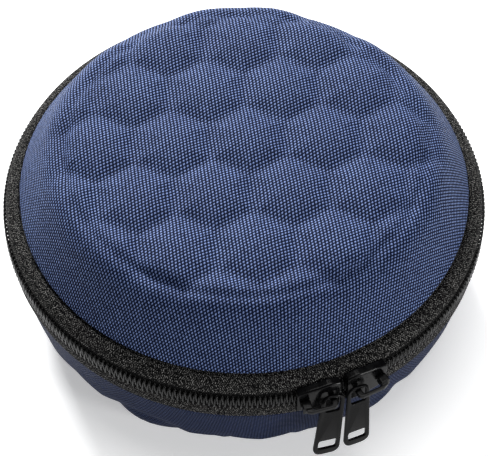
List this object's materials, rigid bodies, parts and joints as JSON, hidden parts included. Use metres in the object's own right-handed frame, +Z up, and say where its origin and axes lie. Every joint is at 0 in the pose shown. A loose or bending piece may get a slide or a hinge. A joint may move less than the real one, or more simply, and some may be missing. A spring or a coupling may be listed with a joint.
{
  "type": "headphone case",
  "caption": "Round zipped hard case for folded headphones: domed quilted lid on a fabric hinge, deep base, coil zip with sliders and pull tabs.",
  "frame": {"origin": "centre of the flat underside of the base", "axes": "+Z up, -Y towards the front where the zip sliders meet, +Y towards the fabric hinge"},
  "size_m": [0.1798, 0.1868, 0.0811],
  "materials": {
    "navy_nylon": "woven ballistic nylon, soft sheen",
    "eva_foam": "matte moulded foam",
    "black_lining": "short velvet",
    "binding": "folded woven tape",
    "zip_tape": "woven tape",
    "zip_coil": "nylon coil, semi-matte",
    "pocket_mesh": "open net",
    "elastic": "ribbed elastic",
    "black_enamel": "glossy black enamel"
  },
  "bodies": {
    "base": {"base_cover": "navy_nylon", "base_shell": "eva_foam", "base_lining": "black_lining", "base_binding": "binding", "zip_tape_base": "zip_tape", "zip_coil_base": "zip_coil", "hinge_strip": "navy_nylon", "hinge_lining": "black_lining"},
    "lid": {"lid_cover": "navy_nylon", "lid_shell": "eva_foam", "lid_lining": "black_lining", "lid_binding": "binding", "zip_tape_lid": "zip_tape", "zip_coil_lid": "zip_coil", "mesh_pocket": "pocket_mesh", "pocket_hem": "elastic"},
    "slider_left": {"slider_left_body": "black_enamel", "slider_left_bridge": "black_enamel"},
    "slider_right": {"slider_right_body": "black_enamel", "slider_right_bridge": "black_enamel"},
    "pull_left": {"pull_left": "black_enamel"},
    "pull_right": {"pull_right": "black_enamel"}
  },
  "joints": [
    {"name": "lid_hinge", "type": "hinge", "parent": "base", "child": "lid", "pos_m": [0, 0.0909, 0.0453], "axis": [-1, 0, 0], "range_deg": [0, 180], "deforming": ["hinge_strip", "hinge_lining"]},
    {"name": "slider_left_run", "type": "hinge", "parent": "base", "child": "slider_left", "pos_m": [0, 0, 0.0453], "axis": [0, 0, -1], "range_deg": [0, 171.5]},
    {"name": "slider_right_run", "type": "hinge", "parent": "base", "child": "slider_right", "pos_m": [0, 0, 0.0453], "axis": [0, 0, 1], "range_deg": [0, 126]},
    {"name": "pull_left_lift", "type": "hinge", "parent": "slider_left", "child": "pull_left", "pos_m": [0.03171, -0.08796, 0.0465], "axis": [-0.9407, -0.3392, 0], "range_deg": [-12, 26]},
    {"name": "pull_right_lift", "type": "hinge", "parent": "slider_right", "child": "pull_right", "pos_m": [0.04051, -0.08427, 0.0465], "axis": [-0.9013, -0.4333, 0], "range_deg": [-12, 26]}
  ]
}
